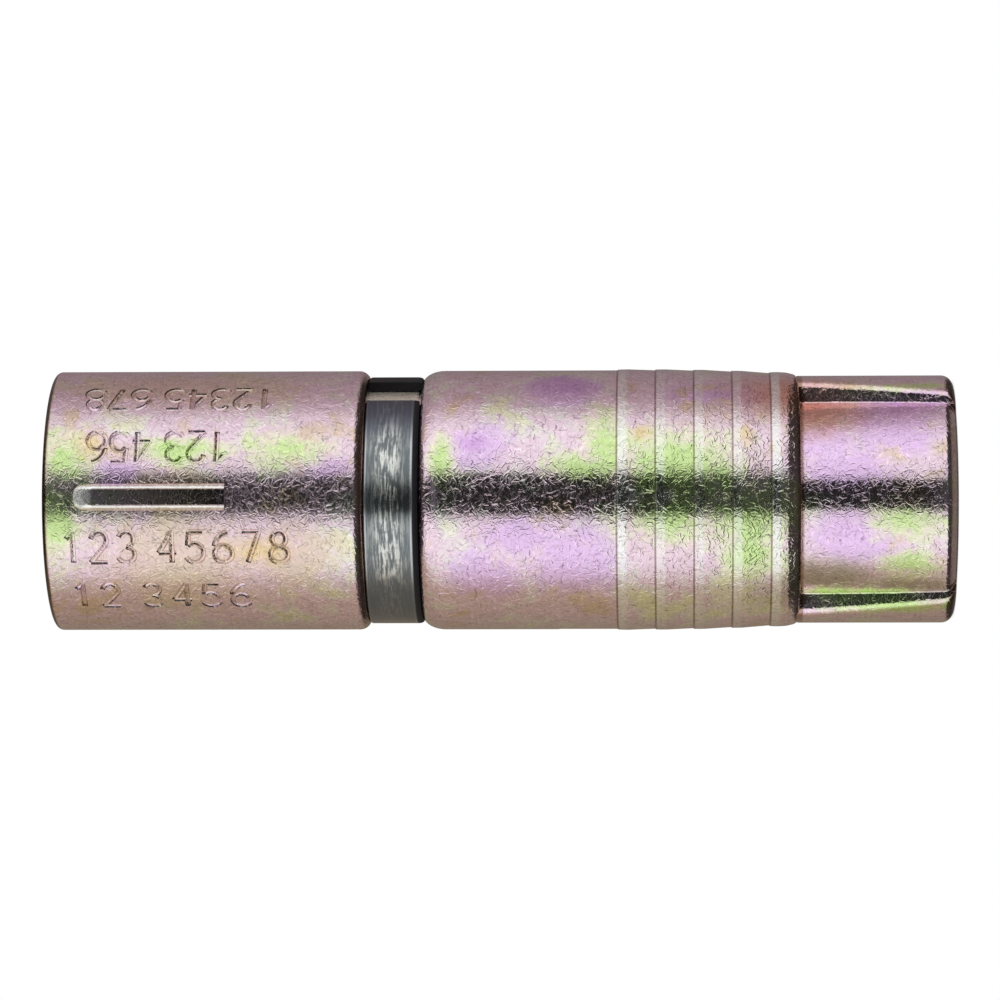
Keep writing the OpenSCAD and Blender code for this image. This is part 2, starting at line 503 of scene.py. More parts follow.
print(f"thread of {thread_turns} turns cut, {len(cone_nut.data.polygons)} faces")

# %% [markdown]
# The expansion sleeve is one tube. Its lip is drawn in over the cone, five low grip rings stand on
# it, and a thinner neck carries the plastic ring and the spacer. Each grip ring rises slowly to a
# crest, falls again ever more steeply, and ends in a small step. That step is only a few hundredths
# of a millimetre high, but it is what draws the thin lines round the sleeve. All of this is one
# outline for the spin, so that no ring has to be joined on.

# %% Section of the expansion sleeve
swage_len = 9.2
swage_depth = 0.3
lip_round = 0.48
lip_drop = 0.095
lip_fall = [(0.24, 0.014), (0.4, 0.038), (0.56, 0.078)]
shoulder_round = 1.35
shoulder_drop = 0.8
grip_count = 5
grip_pitch = 2.29
grip_start = 1.06
grip_rise = 0.65
grip_heights = [0.085, 0.055, 0.05, 0.05, 0.056]
grip_step = 0.042
step_w = 0.085
step_rest = 0.08
crest_ease_z = 0.15
crest_ease_r = 0.008
plain_heights = [22, 27]
GRIP_STEPS = 6
cone_gap_r = cone_radius(cone_reach) + slide_gap
seat_top_z = cone_reach + (cone_gap_r - bore_r) / cone_fall


def swaged_radius(z):
    """Radius of the drawn-in sleeve at a height, without its grip rings."""
    below = max(0, cone_reach + swage_len - z)
    return shield_r - swage_depth * (below / swage_len) ** 2


def grip_ring(number):
    """Points of one grip ring: a crest, a side that steepens on its way up, and a small step."""
    height = grip_heights[number]
    rest = height - grip_step
    crest = cone_reach + grip_start + number * grip_pitch
    foot = crest + grip_rise
    ring = []
    if number:
        before = crest - crest_ease_z
        ring.append((swaged_radius(before) + height - crest_ease_r, before))
    for i in range(GRIP_STEPS + 1):
        z = crest + grip_rise * i / GRIP_STEPS
        fallen = (i / GRIP_STEPS) ** 2
        ring.append((swaged_radius(z) + grip_step + rest * (1 - fallen), z))
    ring += [(swaged_radius(z), z) for z in (foot + step_w, foot + step_w + step_rest)]
    return ring


lip_crest_z = cone_reach + grip_start
lip_crest_r = swaged_radius(lip_crest_z) + grip_heights[0]
lip_r = lip_crest_r - lip_drop
sleeve_outline = [(cone_gap_r, cone_reach)]
sleeve_outline += arc(
    (lip_r - lip_round, cone_reach + lip_round), lip_round, lip_round, -90, -12, 10
)
sleeve_outline += [(lip_crest_r - drop, lip_crest_z - below) for below, drop in lip_fall[::-1]]
for number in range(grip_count):
    sleeve_outline += grip_ring(number)
sleeve_outline += [(shield_r, z) for z in plain_heights]
shoulder_centre = (shield_r - shoulder_drop, shoulder_z - shoulder_round)
sleeve_outline += arc(shoulder_centre, shoulder_drop, shoulder_round, 0, 90, 10)
sleeve_outline += [
    (neck_r, shoulder_z),
    (neck_r, neck_top_z - bore_chamfer),
    (neck_r - bore_chamfer, neck_top_z),
    (bore_r + bore_chamfer, neck_top_z),
    (bore_r, neck_top_z - bore_chamfer),
    (bore_r, seat_top_z),
]
expansion_sleeve = turn_piece("expansion_sleeve_turned", sleeve_outline)

# %% [markdown]
# Two saw slits open the lip so that it can spread, and two keyways behind the lip take the ends of
# the nut's guide ribs. Both are cut through from side to side, along X. The keyway has a crest that
# slopes in like the rib end that it takes, so its cutter is a cone whose sides are trimmed with two
# bisect cuts.

# %% Slits and keyways cut into the expansion sleeve
slit_w = 1.0
slit_len = 14.5
keyway_half_w = rib_half_w + slide_gap
overrun = 1.0


def block(name, low, high):
    """A box between two corners, in millimetres."""
    low, high = Vector(low) * MM, Vector(high) * MM
    bpy.ops.mesh.primitive_cube_add(size=1, location=(low + high) / 2, scale=high - low)
    bpy.context.object.name = name
    bpy.ops.object.transform_apply(location=True, rotation=True, scale=True)
    return bpy.context.object


slit = block(
    "slit_saw",
    (-shield_r - overrun, -slit_w / 2, cone_reach - overrun),
    (shield_r + overrun, slit_w / 2, cone_reach + slit_len),
)
combine(expansion_sleeve, slit)

keyway_low_r = crest_radius(cone_reach) + overrun * rib_entry_fall + slide_gap
keyway_len = (keyway_low_r - bore_r) / rib_entry_fall
bpy.ops.mesh.primitive_cone_add(
    vertices=AROUND,
    radius1=keyway_low_r * MM,
    radius2=bore_r * MM,
    depth=keyway_len * MM,
    location=(0, 0, (cone_reach - overrun + keyway_len / 2) * MM),
)
keyway = bpy.context.object
bpy.ops.object.transform_apply(location=True, rotation=True, scale=True)
bpy.ops.object.mode_set(mode="EDIT")
for side in (-1, 1):
    bpy.ops.mesh.select_all(action="SELECT")
    bpy.ops.mesh.bisect(
        plane_co=(0, side * keyway_half_w * MM, 0),
        plane_no=(0, side, 0),
        use_fill=True,
        clear_outer=True,
    )
close_skin()
combine(expansion_sleeve, keyway)
print("expansion sleeve slit and keyed:", len(expansion_sleeve.data.polygons), "faces")

# %% [markdown]
# The compression ring is a strip of black plastic bent round the neck, with a gap between its ends.
# Its section is a small block with bevelled edges, of which the one towards the expansion sleeve is
# worn round. The section is filled before it is spun, so the spin leaves a face at each end and the
# ring is closed although it doesn't go all the way round. The strip also bulges a little near the
# front. A second solid could be joined on for that, but moving the points of its outside along a
# bell curve of their angle is smoother.

# %% Compression ring spun with a gap
split_angle = math.radians(19.1)
split_from_front = math.radians(61.05)
ring_bevel = 0.13
ring_worn = 0.3
ring_bore_r = neck_r + slide_gap
ring_outline = [
    (ring_bore_r, shoulder_z + ring_bevel),
    (ring_bore_r + ring_bevel, shoulder_z),
    *arc((ring_r - ring_bevel, shoulder_z + ring_worn), ring_bevel, ring_worn, -90, 0, 6),
    *arc((ring_r - ring_bevel, ring_top_z - ring_bevel), ring_bevel, ring_bevel, 0, 90, 4),
    (ring_bore_r + ring_bevel, ring_top_z),
    (ring_bore_r, ring_top_z - ring_bevel),
]
split_turn = split_from_front - math.pi / 2 - split_angle / 2
compression_ring = draw_outline("compression_ring_split", ring_outline)
bpy.ops.mesh.edge_face_add()
bpy.ops.transform.rotate(value=-split_turn, orient_axis="Z", center_override=(0, 0, 0))
bpy.ops.mesh.spin(
    steps=AROUND, angle=2 * math.pi - split_angle, center=(0, 0, 0), axis=(0, 0, 1)
)
close_skin()
print("compression ring:", len(compression_ring.data.polygons), "faces")

# %% Bulge on the front of the compression ring
ring_crown = 0.16
ring_crown_w = math.radians(16)
ring_crown_at = math.radians(-7.5)
moved = 0
for vertex in compression_ring.data.vertices:
    spot = vertex.co
    if spot.xy.length > (ring_r - ring_bevel - MERGE) * MM:
        turned = math.atan2(spot.x, -spot.y) - ring_crown_at
        spot.xy *= 1 + ring_crown / ring_r * math.exp(-((turned / ring_crown_w) ** 2))
        moved += 1
print("points on the outside of the ring:", moved)

# %% [markdown]
# The spacer sleeve is the plain tube at the mouth. It has a counterbore for the neck, a pressed rib
# on its front and back that keeps the anchor from turning, and four short rows of stamped marks.
# The rib is drawn as the outline of its foot, and one inset with depth gives it sloping flanks and
# a flat top at once. It starts as far under the skin as it ends above it, so at the skin it has its
# true width. A bevel rounds the edges of the top. The round end runs out into the skin, so bisect
# cuts give it rows of points, and each row is lowered by how near it is to the tip. The other end
# is cut off square, as the press tool leaves it.

# %% Spacer sleeve turned
spacer_round = 0.67
mouth_round = 0.37
crush_room = 3.8
neck_room_r = neck_r + slide_gap
neck_room_z = neck_top_z + crush_room
spacer_heights = [39, 42, 45, 48, 51]
spacer_outline = [(neck_room_r, ring_top_z)]
spacer_outline += arc(
    (shield_r - spacer_round, ring_top_z + spacer_round), spacer_round, spacer_round, -90, 0, 10
)
spacer_outline += [(shield_r, z) for z in spacer_heights]
spacer_outline += arc(
    (shield_r - mouth_round, mouth_z - mouth_round), mouth_round, mouth_round, 0, 90, 8
)
spacer_outline += [
    (bore_r + bore_chamfer, mouth_z),
    (bore_r, mouth_z - bore_chamfer),
    (bore_r, neck_room_z),
    (neck_room_r, neck_room_z),
]
spacer_sleeve = turn_piece("spacer_sleeve_stamped", spacer_outline)

# %% Pressed ribs joined to the spacer sleeve
key_foot_w = 1.55
key_top_w = 1.2
key_h = 0.28
key_len = 9.2
key_start = 1.7
key_slope = (key_foot_w - key_top_w) / 2
key_edge = 0.17
key_root = 0.6
key_runout = 1.4
key_tip_share = 0.52
RUNOUT_CUTS = 6


def select_front(rib):
    """Selects only the foremost face of a rib in edit mode."""
    bpy.ops.mesh.select_all(action="DESELECT")
    skin = bmesh.from_edit_mesh(rib.data)
    front = min(skin.faces, key=lambda face: face.calc_center_median().y)
    front.select_set(True)


def lower_tip(rib, tip_z, foot_y):
    """Cuts rows of points near the tip of a rib in edit mode and lowers them towards its foot."""
    for number in range(1, RUNOUT_CUTS + 1):
        bpy.ops.mesh.select_all(action="SELECT")
        cut_z = tip_z - key_runout * number / RUNOUT_CUTS
        bpy.ops.mesh.bisect(plane_co=(0, 0, cut_z * MM), plane_no=(0, 0, 1))
    skin = bmesh.from_edit_mesh(rib.data)
    for vertex in skin.verts:
        if vertex.co.y < foot_y:
            way = min(max((tip_z - vertex.co.z / MM) / key_runout, 0), 1)
            share = key_tip_share + (1 - key_tip_share) * way
            vertex.co.y = foot_y + (vertex.co.y - foot_y) * share
    bmesh.update_edit_mesh(rib.data)


def pressed_rib(back):
    """One pressed rib: a foot outline, an inset that raises its flat top, and a square end."""
    half = key_foot_w / 2 + key_slope
    round_z = mouth_z - key_start - key_foot_w / 2
    square_z = mouth_z - key_start - key_len
    foot_y = -(shield_r - key_h) * MM
    round_end = arc((0, round_z), half, half, 180, 0, 24)
    foot = [(-half, square_z - overrun), *round_end, (half, square_z - overrun)]
    rib = draw_outline("pressed_rib", foot)
    bpy.ops.transform.translate(value=(0, foot_y, 0))
    bpy.ops.mesh.edge_face_add()
    bpy.ops.mesh.extrude_region_move(TRANSFORM_OT_translate={"value": (0, key_root * MM, 0)})
    bpy.ops.mesh.select_all(action="SELECT")
    bpy.ops.mesh.normals_make_consistent(inside=False)
    select_front(rib)
    bpy.ops.mesh.inset(thickness=2 * key_slope * MM, depth=2 * key_h * MM)
    select_front(rib)
    bpy.ops.mesh.bevel(offset=key_edge * MM, segments=5, affect="EDGES")
    lower_tip(rib, round_z + key_foot_w / 2, foot_y)
    bpy.ops.mesh.select_all(action="SELECT")
    bpy.ops.mesh.bisect(
        plane_co=(0, 0, square_z * MM), plane_no=(0, 0, 1), use_fill=True, clear_inner=True
    )
    if back:
        bpy.ops.mesh.select_all(action="SELECT")
        bpy.ops.transform.rotate(value=math.pi, orient_axis="Z", center_override=(0, 0, 0))
    close_skin()
    print("pressed rib:", len(rib.data.polygons), "faces,", open_edges(rib), "open edges")
    return rib


for back in (False, True):
    combine(spacer_sleeve, pressed_rib(back), "UNION")
    print("spacer sleeve:", len(spacer_sleeve.data.polygons), "faces")

# %% [markdown]
# The figures look as if struck with hand stamps, which leave single strokes with a round bottom. A
# text object could be cut in, but the bottom of its strokes would be flat. So each stroke is a line
# of points in a box one unit high, and a curve with a round bevel makes a solid wire of it, which
# is laid a little way into the sleeve and cut out. Strokes of one figure cross each other, so they
# go into separate cutters. A row is given by its first figure's distance from the mouth, its pitch,
# its angle from the front, and whether it is upside down.

# %% Strokes of the stamped figures
FIGURES = {
    "1": [[(0.12, 0.78), (0.32, 1)], [(0.32, 1), (0.32, 0)]],
    "2": [
        [*arc((0.26, 0.73), 0.24, 0.27, 170, -28), (0.0, 0.0)],
        [(0.0, 0.0), (0.52, 0.0)],
    ],
    "3": [
        arc((0.24, 0.76), 0.23, 0.24, 160, -80),
        arc((0.24, 0.26), 0.26, 0.26, 90, -160),
    ],
    "4": [[(0.4, 0), (0.4, 1)], [(0.4, 1), (0, 0.32)], [(0, 0.32), (0.54, 0.32)]],
    "5": [
        [(0.5, 1), (0.08, 1)],
        [(0.08, 1), (0.04, 0.56)],
        arc((0.24, 0.32), 0.28, 0.32, 135, -155, 12),
    ],
    "6": [
        arc((0.5, 0.5), 0.5, 0.5, 100, 175),
        arc((0.27, 0.29), 0.27, 0.29, 180, -180, 18),
    ],
    "7": [[(0, 1), (0.52, 1)], [(0.52, 1), (0.16, 0)]],
    "8": [
        arc((0.27, 0.76), 0.21, 0.24, 90, 450, 16),
        arc((0.27, 0.26), 0.27, 0.26, 90, 450, 18),
    ],
}
figure_h = 1.95
stroke_r = 0.18
stroke_depth = 0.112
space_share = 0.45
stamped_rows = [
    {"figures": "123 45678", "start": 1.2, "pitch": 1.66, "angle": -22.3, "turned": False},
    {"figures": "12 3456", "start": 1.6, "pitch": 1.75, "angle": -47.8, "turned": False},
    {"figures": "123 456", "start": 11.0, "pitch": 1.33, "angle": 22.7, "turned": True},
    {"figures": "12345 678", "start": 13.65, "pitch": 1.37, "angle": 49.6, "turned": True},
]


def stroke_wire(points, row, left):
    """One stroke as a closed wire along the sleeve. left is where its figure starts in the row."""
    facing = -1 if row["turned"] else 1
    wire_r = shield_r + stroke_r - stroke_depth
    bpy.ops.curve.primitive_nurbs_path_add()
    wire = bpy.context.object
    wire.data.splines.clear()
    line = wire.data.splines.new("POLY")
    line.points.add(len(points) - 1)
    for spot, (across, up) in zip(line.points, points):
        angle = math.radians(row["angle"]) + facing * (up - 0.5) * figure_h / shield_r
        z = mouth_z - row["start"] - facing * (left + across * figure_h)
        spot.co = (wire_r * math.sin(angle) * MM, -wire_r * math.cos(angle) * MM, z * MM, 1)
    line.use_cyclic_u = math.dist(points[0], points[-1]) < MERGE
    wire.data.bevel_depth = stroke_r * MM
    wire.data.bevel_resolution = 3
    wire.data.use_fill_caps = True
    bpy.ops.object.convert(target="MESH")
    bpy.ops.object.mode_set(mode="EDIT")
    close_skin()
    return bpy.context.object


# %% Figures stamped into the spacer sleeve
cutters = {}
for row in stamped_rows:
    left = 0
    for figure in row["figures"]:
        for number, points in enumerate(FIGURES.get(figure, [])):
            cutters.setdefault(number, []).append(stroke_wire(points, row, left))
        left += row["pitch"] * (space_share if figure == " " else 1)
for number, wires in cutters.items():
    pick(*wires)
    bpy.ops.object.join()
    print(f"stamp {number}: {len(wires)} strokes, {open_edges(wires[0])} open edges")
    combine(spacer_sleeve, wires[0])
print("spacer sleeve with its figures:", len(spacer_sleeve.data.polygons), "faces")

# %% [markdown]
# Yellow zinc is steel, a few thousandths of zinc, and a chromate film thinner than light's own
# waves. The film holds no pigment. Its thickness makes the colour, which drifts from lilac through
# pink and straw to green as the bath runs off. Noise alone could colour the part at random, but the
# larger patches belong to its likeness. So noise gives only the ground, through a ramp of the
# film's colours, and each larger patch is a soft spot at a height and an angle of its own.

# %% Colours of the film and the places of its patches
tan = (0.76, 0.60, 0.50)
pink = (0.84, 0.66, 0.76)
pale = (0.84, 0.78, 0.77)
lilac = (0.78, 0.54, 0.86)
straw = (0.84, 0.84, 0.60)
green = (0.58, 0.82, 0.30)
orange = (0.70, 0.36, 0.27)
dun = (0.46, 0.41, 0.34)
ochre = (0.80, 0.62, 0.30)
purple = (0.66, 0.38, 0.74)
film_stops = [(0.36, tan), (0.44, pink), (0.50, pink), (0.56, pale), (0.64, straw)]

# A place is its height, its angle from the front in degrees, and its reach along and round.
green_places = [
    (53.0, 19, 2.2, 2.4), (53.6, -12, 1.6, 3.0), (46.0, 21, 3.4, 1.0), (39.5, 21, 3.2, 1.6),
    (30.6, 17, 0.9, 2.0), (22.6, 13, 2.2, 1.1), (20.8, 22, 1.6, 3.2), (16.2, 10, 4.6, 3.6),
    (12.4, -9, 3.4, 2.8), (17.0, -8, 3.0, 2.4), (12.2, -26, 2.2, 1.6), (3.2, -12, 2.4, 1.8),
    (2.6, -36, 2.2, 1.2), (4.5, -62, 7.0, 0.9), (2.4, 63.5, 3.6, 0.6),
]
lilac_places = [
    (28.6, 23, 2.6, 1.7), (23.4, 55, 2.6, 2.0), (22.8, -30, 3.2, 3.0), (28.0, -38, 2.6, 2.4),
    (37.6, 14, 2.4, 1.2), (50.0, 11, 2.0, 0.9), (3.6, 32, 3.2, 2.2), (6.5, 14, 4.0, 2.0),
    (6.0, -22, 3.6, 2.6), (14.5, 52, 4.0, 1.6), (8.0, 30, 2.6, 1.8), (26.0, -18, 3.0, 1.6),
]
tan_places = [
    (46.0, -30, 8.0, 5.0), (40.0, -26, 3.5, 3.5), (47.0, 4, 5.0, 1.6), (46.0, 58, 10.0, 3.0),
]
# The orange patch is no film colour: it is a painted reflection of the upper rib and the lip in the
# nut's panel beside them.
orange_reflection_places = [(9.6, 55, 6.2, 4.2)]
dun_places = [(8.0, -48, 4.8, 2.4), (2.5, -52, 3.6, 1.6)]
purple_places = [
    (3.6, 52, 5.0, 2.4), (23.4, 60, 2.6, 1.6), (28.6, 24, 1.2, 0.8), (2.6, -38, 1.6, 1.0),
]
ochre_places = [
    (51.5, 24, 1.7, 1.6), (18.7, 29, 0.9, 0.9), (12.6, 28, 0.9, 1.4), (41.5, -24, 3.0, 1.6),
]

# A tint is the nearness where it begins and where it is full, then its strength and its colour.
patches = [
    {"places": tan_places, "ragged": 1.0, "tints": [(0.0, 0.7, 0.8, tan)]},
    {"places": lilac_places, "ragged": 1.0, "tints": [(-0.1, 0.6, 0.85, lilac)]},
    {"places": dun_places, "ragged": 0.4, "tints": [(0.0, 0.8, 0.85, dun)]},
    {"places": purple_places, "ragged": 0.6, "tints": [(0.0, 0.9, 0.7, purple)]},
    {
        "places": green_places,
        "ragged": 1.0,
        "tints": [(-0.25, 0.35, 0.7, straw), (0.05, 0.85, 0.82, green)],
    },
    {"places": orange_reflection_places, "ragged": 0.35, "tints": [(0.0, 0.9, 0.9, orange)]},
    {"places": ochre_places, "ragged": 0.6, "tints": [(0.0, 1.0, 0.75, ochre)]},
]
print("patches in the film:", sum(len(patch["places"]) for patch in patches))


# %% Film with its patches
def fold(operation, wires):
    """Several values brought down to one, two at a time."""
    result = wires[0]
    for wire in wires[1:]:
        result = result.math(operation, result, wire)
    return result


def near_places(rolled_out, places):
    """1 in the middle of the places and 0 at their rims, on the skin rolled out flat."""
    distances = []
    for z, degrees, reach_z, reach_round in places:
        off = rolled_out.vector("SUBTRACT", rolled_out, (math.radians(degrees) * shield_r, z, 0))
        share = off.vector("MULTIPLY", off, (1 / reach_round, 1 / reach_z, 0))
        distances.append(share.vector("LENGTH", share, out=1))
    return 1 - fold("MINIMUM", distances)


def film(shifted, rolled_out):
    """The film's colour, and the noise that makes the rims of its patches ragged."""
    drift = shifted.noise(4.5, 2.0, 0.55, 0.4)
    cloud = shifted.noise(1.3, 3.0, 0.6, 0.4)
    grain = shifted.noise(0.45, 2.0)
    haze = drift * 0.6 + cloud * 0.4
    ragged = (haze - 0.5) * 2.6 + (grain - 0.5) * 0.8
    tint = haze.add("ShaderNodeValToRGB", {"stops": film_stops}, {0: haze})
    for patch in patches:
        near = near_places(rolled_out, patch["places"]) + ragged * patch["ragged"]
        for low, high, strength, colour in patch["tints"]:
            tint = (near.rise(low, high) * strength).mix(tint, (*colour, 1))
    return tint, ragged


# %% [markdown]
# Along the ends of the pieces the colour turns bronze, and nearly black on the rounding of the
# mouth: a painted reflection of the dark parts and room that those roundings face. On the grip
# rings and on the sloping edges of the pressed rib the colour is painted pale as painted highlights,
# and the small step of each grip ring gets a painted shade line. These marks could be painted on
# by hand, but they follow the part's own edges. So each is a mask over the height or over the
# distance from the axis, written with the sizes that made the shape.

# %% Painted reflections at the ends, painted highlights and shade on the grips and the rib
# The first two colours are painted reflection at the piece ends and the mouth, the third is painted
# shade in the grip steps, the fourth a painted highlight; bare is the neck's own colour.
reflection_bronze = (0.34, 0.19, 0.12)
mouth_reflection_black = (0.09, 0.065, 0.045)
step_shade = (0.20, 0.14, 0.11)
painted_highlight = (0.95, 0.96, 0.94)
bare = (0.98, 0.92, 0.80)
reflection_edges = [(0.0, 0.6), (cone_reach, 0.28), (ring_top_z, 0.5), (mouth_z, 0.38)]
grip_highlight_strengths = [0.7, 0.4, 0.4, 0.4, 0.7]
mouth_reflection_edge = (shield_r - 0.45, shield_r - 0.35)


def edge_reflection_tint(tint, z, radius, ragged):
    """Painted reflection: brownish at the piece ends, nearly black on the mouth's rounding."""
    edges = [1 - abs(z - edge_z).rise(reach * 0.4, reach) for edge_z, reach in reflection_edges]
    tint = (fold("MAXIMUM", edges) * 0.8).mix(tint, (*reflection_bronze, 1))
    # Painted dark reflection on the rounding of the mouth
    mouth = (z + ragged * 0.1).rise(mouth_z - 0.3, mouth_z - 0.2) * radius.rise(*mouth_reflection_edge)
    return (mouth * 0.85).mix(tint, (*mouth_reflection_black, 1))


def grip_highlight_and_shade(tint, z):
    """A painted highlight on each grip ring, and a painted shade line in the step above it."""
    for number, highlight_strength in enumerate(grip_highlight_strengths):
        foot = cone_reach + grip_start + number * grip_pitch + grip_rise
        # Painted highlight on the slope of the grip ring that faces the mouth
        stripe = z.rise(foot - 0.62, foot - 0.42) * (1 - z.rise(foot - 0.06, foot))
        tint = (stripe * highlight_strength).mix(tint, (*painted_highlight, 1))
        # Painted shade in the small step at the foot of the grip ring
        step_shade_line = 1 - abs(z - foot - 0.04).rise(0.03, 0.08)
        tint = (step_shade_line * 0.7).mix(tint, (*step_shade, 1))
    return tint


# %% [markdown]
# Tumbling in a drum leaves short straight marks that lie over each other in every direction. A
# worm-like noise comes close to them, but its lines are never straight. So a Voronoi texture is
# used for its cells alone: each cell's random colour turns one fibre about the middle of the cell
# and makes it a little lighter or darker. Four layers of different size lie over each other. They
# run over the skin as if it were unrolled, because flat cells through a round part would stretch.

# %% Fibres that the tumbling left
fibre_len = 0.46
fibre_w = 0.12
fibre_sizes = [0.37, 0.32, 0.41, 0.35]
layer_shift = 7.3
back_shift = 40
waves_per_mm = 1.4


def skin_place(here):
    """A point's place on the unrolled skin in millimetres. Flanks and end faces are taken flat."""
    x, y, z = here.split()
    facing = here.add("ShaderNodeTexCoord", out=1).split()
    turned = here.math("ARCTAN2", x, abs(y)) * shield_r
    outward = (facing[0] * x + facing[1] * y) / (x * x + y * y) ** 0.5
    on_flank = here.math("LESS_THAN", outward, 0.85)
    on_end = here.math("GREATER_THAN", abs(facing[2]), 0.75)
    back = here.math("GREATER_THAN", y, 0.0) * back_shift
    east = turned * (1 - on_flank) + x * on_flank + back
    skin = here.add(
        "ShaderNodeMix",
        {"data_type": "VECTOR"},
        {0: on_end, 4: here.point(east, z, 0.0), 5: here},
        out=1,
    )
    wave = skin.noise(1 / waves_per_mm, 1.0, out=1)
    return skin.vector("MULTIPLY_ADD", wave, (0.5, 0.5, 0), skin)


def fibres(skin, size, shift):
    """One layer: where its fibres lie, and a tone from -0.5 to 0.5 for each of them."""
    moved = skin.vector("ADD", skin, (shift, shift * 1.7, 0))
    middle = moved.add(
        "ShaderNodeTexVoronoi",
        {"voronoi_dimensions": "2D"},
        {"Vector": moved, "Scale": 1 / size},
        out=2,
    )
    luck = Wire(moved.tree, middle.socket.node.outputs["Color"]).split()
    east, north = moved.vector("SUBTRACT", moved, middle).split()[:2]
    turn = luck[0] * (2 * math.pi)
    cosine = turn.math("COSINE", turn)
    sine = turn.math("SINE", turn)
    across = abs(east * cosine + north * sine)
    along = abs(north * cosine - east * sine)
    lies = (1 - across.rise(0.01, fibre_w / 2)) * (1 - along.rise(fibre_len * 0.38, fibre_len / 2))
    return lies, lies * (luck[1] - 0.5)


def tumbled(skin):
    """All layers together: where any fibre lies, and the sum of their tones."""
    layers = [fibres(skin, size, number * layer_shift) for number, size in enumerate(fibre_sizes)]
    lies = fold("MAXIMUM", [layer[0] for layer in layers])
    tone = fold("ADD", [layer[1] for layer in layers])
    return lies, tone


# %% [markdown]
# The finish puts these together. The fibres tint the film a little and stand in the bump with two
# noises, one for fine grain and one for broad dents. The neck under the ring is bare and dull. The
# top of the pressed rib is burnished, smoother and with less bump, and its colour is painted darker
# as a painted dark reflection. The sleeves and the nut get the same finish with the pattern moved,
# and the nut is a little smoother.

# %% Yellow zinc finish
neck_skin = (neck_r + 0.15, neck_r + 0.25)
neck_start = (shoulder_z, shoulder_z + 0.3)
spacer_start = (35, 36)
key_skin = (shield_r + 0.01, shield_r + 0.05)
key_burnished = (shield_r + 0.1, shield_r + 0.2)
key_flat = (shield_r + key_h - 0.04, shield_r + key_h - 0.01)
key_tip = (shield_r + 0.01, shield_r + 0.03)
key_tip_start = (mouth_z - key_start - 1.7, mouth_z - key_start - 1.0)


def yellow_zinc(name, shift, bump_height, roughness):
    """The chromated finish. shift moves its patterns, so that two pieces don't repeat them."""
    material, start, output = new_material(name)
    here = millimetres(start)
    x, y, z = here.split()
    radius = (x * x + y * y) ** 0.5
    shifted = here.vector("ADD", here, shift)
    rolled_out = here.point(here.math("ARCTAN2", x, abs(y)) * shield_r, z, 0.0)
    tint, ragged = film(shifted, rolled_out)
    tint = grip_highlight_and_shade(edge_reflection_tint(tint, z, radius, ragged), z)
    neck = (1 - radius.rise(*neck_skin)) * z.rise(*neck_start)
    tint = neck.mix(tint, (*bare, 1))
    # Painted dark reflection on the flat top of the pressed rib, and painted highlights on its
    # flanks
    painted_dark_top = abs(y).rise(*key_flat)
    rib_flank_highlight = abs(y).rise(*key_skin) * (1 - painted_dark_top)
    tint = (rib_flank_highlight * 0.8).mix(tint, (*painted_highlight, 1))

    fibre, tone = tumbled(skin_place(here))
    # The rib's flat top is painted darker here, a painted dark reflection
    colour = tint.scaled((1 + tone * 0.46) * (1 - painted_dark_top * 0.45))
    burnished = abs(y).rise(*key_burnished)
    dents = shifted.noise(1.2, 2.0, 0.5, 0.4)
    grain = shifted.noise(0.22, 2.0, 0.5, 0.6)
    height = (fibre * 0.12 + tone * 1.1 + grain * 0.35 + dents) * (1 - burnished * 0.4)
    bump = start.add("ShaderNodeBump", None, {
        "Strength": 1.0, "Distance": bump_height * MM, "Height": height,
    })

    on_spacer = z.rise(*spacer_start) * (1 - burnished)
    tip = abs(y).rise(*key_tip) * z.rise(*key_tip_start)
    rough = (fibre * 0.10 + roughness) * (1 - burnished * 0.3) + on_spacer * 0.07
    shader = start.add("ShaderNodeBsdfPrincipled", None, {
        "Base Color": colour, "Metallic": 1.0,
        "Roughness": rough + neck * 0.4 + tip * 0.2, "Normal": bump,
    })
    start.tree.links.new(shader.socket, output.inputs["Surface"])
    return material


zinc_on_sleeves = yellow_zinc("yellow_zinc_sleeves", (3.0, 11.0, 5.0), 0.011, 0.085)
zinc_on_nut = yellow_zinc("yellow_zinc_nut", (21.0, 4.0, 9.0), 0.009, 0.065)
print("finishes:", zinc_on_sleeves.name, zinc_on_nut.name)

# %% [markdown]
# The ring is black plastic with thin scuff streaks that run round it. The streaks are noise whose
# coordinates are an angle and a height, with the angle counted coarsely, so the noise is drawn out
# round the ring. On the front, which faces the lens, the streaks are made pale and nearly metallic
# as a painted sheen, and the plastic is painted darker towards the +X side as painted shade. The
# worn edge and the far end stay clean black and aren't metallic, because a metal would turn bright
# where it is seen at a grazing angle.

# %% Black plastic, scuffed round the ring, with painted sheen and shade
ring_low_z = shoulder_z + ring_worn
ring_middle_z = (ring_low_z + ring_top_z) / 2
ring_half_w = (ring_top_z - ring_low_z) / 2
streak_pull = 0.9
# Slate colours for the plastic's front and sides, the +X side painted darker as painted shade; the
# pale grey colours below are a painted sheen and a painted edge highlight.
slate_left = (0.17, 0.195, 0.235)
slate_right = (0.11, 0.12, 0.155)
slate_front = (0.175, 0.195, 0.205)
scuff_sheen_grey = (0.88, 0.90, 0.85)
edge_highlight_grey = (0.80, 0.84, 0.90)
clean_black = (0.008, 0.008, 0.012)


